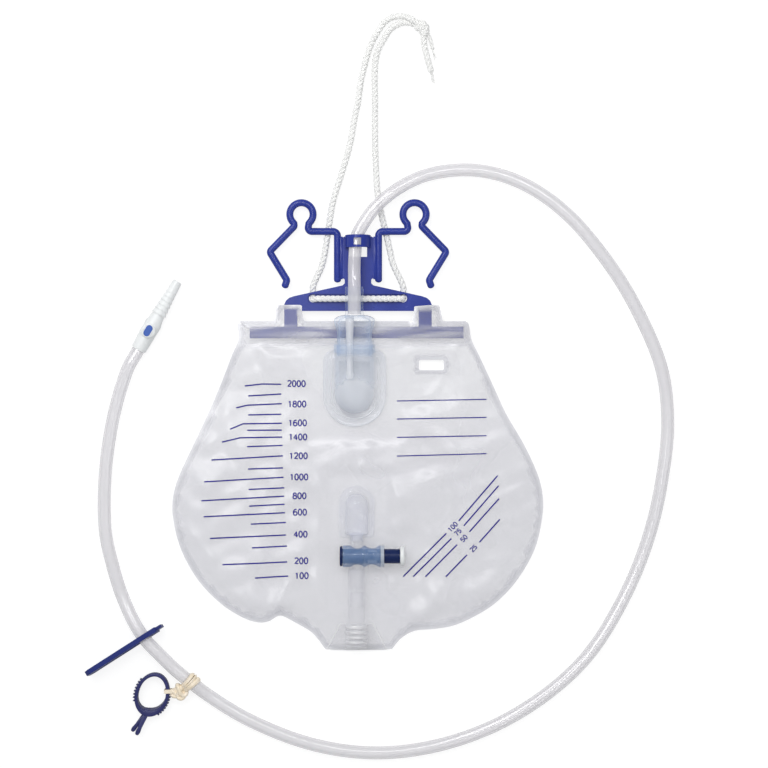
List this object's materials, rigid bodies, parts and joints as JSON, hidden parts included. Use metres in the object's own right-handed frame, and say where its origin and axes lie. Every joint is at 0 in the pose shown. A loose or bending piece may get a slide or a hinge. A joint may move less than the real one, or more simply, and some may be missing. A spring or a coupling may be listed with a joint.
{
  "type": "urine drainage bag",
  "caption": "Clear closed-system urine drainage bag with a hinged blue hanger, drip chamber, cross tap, long tube with clamps and a stepped catheter connector.",
  "frame": {"origin": "on the back film's outer face, which lies on the table, midway between the hooks' tops and the bag's lower edge, on the bag's centre line", "axes": "+X to the right as seen from the front, +Y up the bag towards the hanger and the hooks, +Z out of the front, away from the table"},
  "size_m": [0.4295, 0.5458, 0.0273],
  "materials": {
    "soft_pvc_film": "clear soft PVC film, slightly blue and glossy, with soft creases",
    "clear_rigid_pvc": "clear moulded PVC, glossy, faint blue",
    "milky_polyethylene": "milky see-through moulded plastic, satin",
    "tinted_tap_plastic": "see-through blue-tinted moulded plastic over a dark piston",
    "tube_pvc": "clear soft PVC tube, glossy",
    "blue_polypropylene": "blue-violet moulded polypropylene, satin",
    "navy_polyethylene": "navy blue moulded polyethylene, satin",
    "white_abs": "white moulded plastic, semi-gloss",
    "septum_rubber": "blue soft rubber",
    "white_cord": "white braided cord",
    "cream_latex": "cream latex rubber",
    "seal_rubber": "black rubber"
  },
  "bodies": {
    "bag": {"bag_back_film": "soft_pvc_film", "bag_front_film": "soft_pvc_film", "outlet_pocket": "soft_pvc_film", "hanger_plate": "blue_polypropylene", "hanging_cord": "white_cord", "cord_knot": "white_cord", "cord_tail_long": "white_cord", "cord_tail_short": "white_cord", "drip_chamber": "clear_rigid_pvc", "chamber_stopper": "clear_rigid_pvc", "non_return_valve": "soft_pvc_film", "drain_outlet": "milky_polyethylene", "tap_body": "tinted_tap_plastic", "drain_tube": "milky_polyethylene", "drain_spout": "milky_polyethylene", "drainage_tube": "tube_pvc", "catheter_connector": "white_abs", "sampling_septum": "septum_rubber", "sheet_clip": "navy_polyethylene", "clip_elastic_band": "cream_latex"},
    "left_hook": {"left_hook": "blue_polypropylene"},
    "right_hook": {"right_hook": "blue_polypropylene"},
    "tap_piston": {"tap_piston": "navy_polyethylene", "piston_end_disc": "white_abs", "piston_seal_left": "seal_rubber", "piston_seal_right": "seal_rubber"},
    "slide_clamp": {"slide_clamp": "navy_polyethylene"}
  },
  "joints": [
    {"name": "left_hook_swing", "type": "hinge", "parent": "bag", "child": "left_hook", "pos_m": [-0.01095, 0.1062, 0.00685], "axis": [0, 1, 0], "range_deg": [0, 90]},
    {"name": "right_hook_swing", "type": "hinge", "parent": "bag", "child": "right_hook", "pos_m": [0.01095, 0.1062, 0.00685], "axis": [0, -1, 0], "range_deg": [0, 90]},
    {"name": "piston_slide", "type": "slide", "parent": "bag", "child": "tap_piston", "axis": [-1, 0, 0], "range_m": [0, 0.0115]},
    {"name": "clamp_slide", "type": "slide", "parent": "bag", "child": "slide_clamp", "axis": [0.8425, 0.5388, 0], "range_m": [0, 0.026], "deforming": ["drainage_tube"]}
  ]
}
